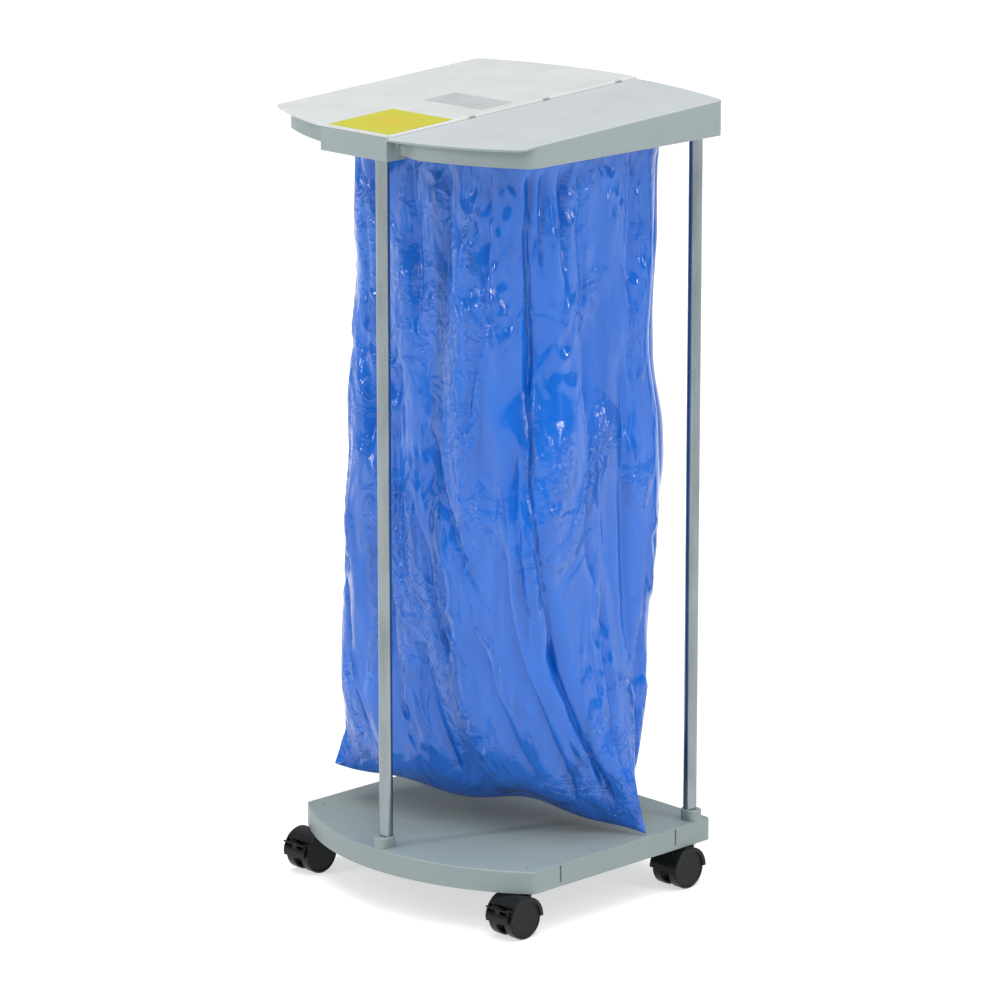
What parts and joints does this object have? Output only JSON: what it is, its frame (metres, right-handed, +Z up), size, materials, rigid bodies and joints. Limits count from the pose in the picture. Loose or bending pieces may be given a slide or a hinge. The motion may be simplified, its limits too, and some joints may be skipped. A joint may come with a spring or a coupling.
{
  "type": "refuse bag stand",
  "caption": "Mobile stand for a hanging plastic refuse bag: castor base, chromed tubes and a sloping top with a hinged lid flap over the bag's mouth.",
  "frame": {"origin": "centre of the object's bounding box in plan, on the floor under the wheels", "axes": "+Z up; -Y is the bowed front with the single tube; +X is the fixed deck's side, and the lid lifts on the -X side"},
  "size_m": [0.402, 0.4064, 0.9452],
  "materials": {
    "grey_plastic": "fine-grained injection moulding",
    "light_plastic": "fine-grained injection moulding",
    "chrome": "bright chromed tube",
    "bag_film": "glossy crinkled polyethylene film",
    "rubber": "elastic band",
    "yellow_plate": "satin inlay",
    "label": "printed dot pattern",
    "insert_plastic": "moulded nylon",
    "black_plastic": "satin black moulding",
    "wheel_plastic": "satin black wheel",
    "steel": "zinc-plated"
  },
  "bodies": {
    "stand": {"base_tray": "grey_plastic", "tube_front": "chrome", "tube_rear_left": "chrome", "tube_rear_right": "chrome", "front_tube_plug": "insert_plastic", "tube_head_plugs": "insert_plastic", "rear_castor_sockets": "insert_plastic", "front_castor_sockets": "insert_plastic", "front_tube_screw": "steel", "front_tube_washer": "steel", "tube_head_screws": "steel", "top_frame": "grey_plastic", "bag_collar": "grey_plastic", "collar_screws": "steel", "bag_band": "rubber", "refuse_bag": "bag_film", "castor_grip_rings": "steel", "castor_stem_front_left": "steel", "castor_stem_front_right": "steel", "castor_stem_rear_left": "steel", "castor_stem_rear_right": "steel"},
    "lid": {"lid_flap": "light_plastic", "lid_hinge_rod": "steel", "colour_plate": "yellow_plate", "label_plate": "label"},
    "castor_front_left": {"castor_hood_front_left": "black_plastic", "castor_axle_front_left": "steel"},
    "wheel_front_left_left": {"castor_wheel_front_left_left": "wheel_plastic"},
    "wheel_front_left_right": {"castor_wheel_front_left_right": "wheel_plastic"},
    "brake_front_left": {"brake_lever_front_left": "black_plastic"},
    "castor_front_right": {"castor_hood_front_right": "black_plastic", "castor_axle_front_right": "steel"},
    "wheel_front_right_left": {"castor_wheel_front_right_left": "wheel_plastic"},
    "wheel_front_right_right": {"castor_wheel_front_right_right": "wheel_plastic"},
    "brake_front_right": {"brake_lever_front_right": "black_plastic"},
    "castor_rear_left": {"castor_hood_rear_left": "black_plastic", "castor_axle_rear_left": "steel"},
    "wheel_rear_left_left": {"castor_wheel_rear_left_left": "wheel_plastic"},
    "wheel_rear_left_right": {"castor_wheel_rear_left_right": "wheel_plastic"},
    "castor_rear_right": {"castor_hood_rear_right": "black_plastic", "castor_axle_rear_right": "steel"},
    "wheel_rear_right_left": {"castor_wheel_rear_right_left": "wheel_plastic"},
    "wheel_rear_right_right": {"castor_wheel_rear_right_right": "wheel_plastic"}
  },
  "joints": [
    {"name": "lid_hinge", "type": "hinge", "parent": "stand", "child": "lid", "pos_m": [0.031, 0.00002, 0.9316], "axis": [0, 0.9986, 0.0523], "range_deg": [0, 105]},
    {"name": "swivel_front_left", "type": "hinge", "parent": "stand", "child": "castor_front_left", "pos_m": [-0.172, -0.117, 0.0505], "axis": [0, 0, 1], "continuous": true},
    {"name": "roll_front_left_left", "type": "hinge", "parent": "castor_front_left", "child": "wheel_front_left_left", "pos_m": [-0.172, -0.137, 0.024], "axis": [1, 0, 0], "continuous": true},
    {"name": "roll_front_left_right", "type": "hinge", "parent": "castor_front_left", "child": "wheel_front_left_right", "pos_m": [-0.172, -0.137, 0.024], "axis": [1, 0, 0], "continuous": true},
    {"name": "brake_front_left", "type": "hinge", "parent": "castor_front_left", "child": "brake_front_left", "pos_m": [-0.172, -0.151, 0.036], "axis": [1, 0, 0], "range_deg": [0, 8]},
    {"name": "swivel_front_right", "type": "hinge", "parent": "stand", "child": "castor_front_right", "pos_m": [0.172, -0.117, 0.0505], "axis": [0, 0, 1], "continuous": true},
    {"name": "roll_front_right_left", "type": "hinge", "parent": "castor_front_right", "child": "wheel_front_right_left", "pos_m": [0.172, -0.137, 0.024], "axis": [1, 0, 0], "continuous": true},
    {"name": "roll_front_right_right", "type": "hinge", "parent": "castor_front_right", "child": "wheel_front_right_right", "pos_m": [0.172, -0.137, 0.024], "axis": [1, 0, 0], "continuous": true},
    {"name": "brake_front_right", "type": "hinge", "parent": "castor_front_right", "child": "brake_front_right", "pos_m": [0.172, -0.151, 0.036], "axis": [1, 0, 0], "range_deg": [0, 8]},
    {"name": "swivel_rear_left", "type": "hinge", "parent": "stand", "child": "castor_rear_left", "pos_m": [-0.177, 0.1515, 0.0505], "axis": [0, 0, 1], "continuous": true},
    {"name": "roll_rear_left_left", "type": "hinge", "parent": "castor_rear_left", "child": "wheel_rear_left_left", "pos_m": [-0.177, 0.1315, 0.024], "axis": [1, 0, 0], "continuous": true},
    {"name": "roll_rear_left_right", "type": "hinge", "parent": "castor_rear_left", "child": "wheel_rear_left_right", "pos_m": [-0.177, 0.1315, 0.024], "axis": [1, 0, 0], "continuous": true},
    {"name": "swivel_rear_right", "type": "hinge", "parent": "stand", "child": "castor_rear_right", "pos_m": [0.177, 0.1515, 0.0505], "axis": [0, 0, 1], "continuous": true},
    {"name": "roll_rear_right_left", "type": "hinge", "parent": "castor_rear_right", "child": "wheel_rear_right_left", "pos_m": [0.177, 0.1315, 0.024], "axis": [1, 0, 0], "continuous": true},
    {"name": "roll_rear_right_right", "type": "hinge", "parent": "castor_rear_right", "child": "wheel_rear_right_right", "pos_m": [0.177, 0.1315, 0.024], "axis": [1, 0, 0], "continuous": true}
  ]
}
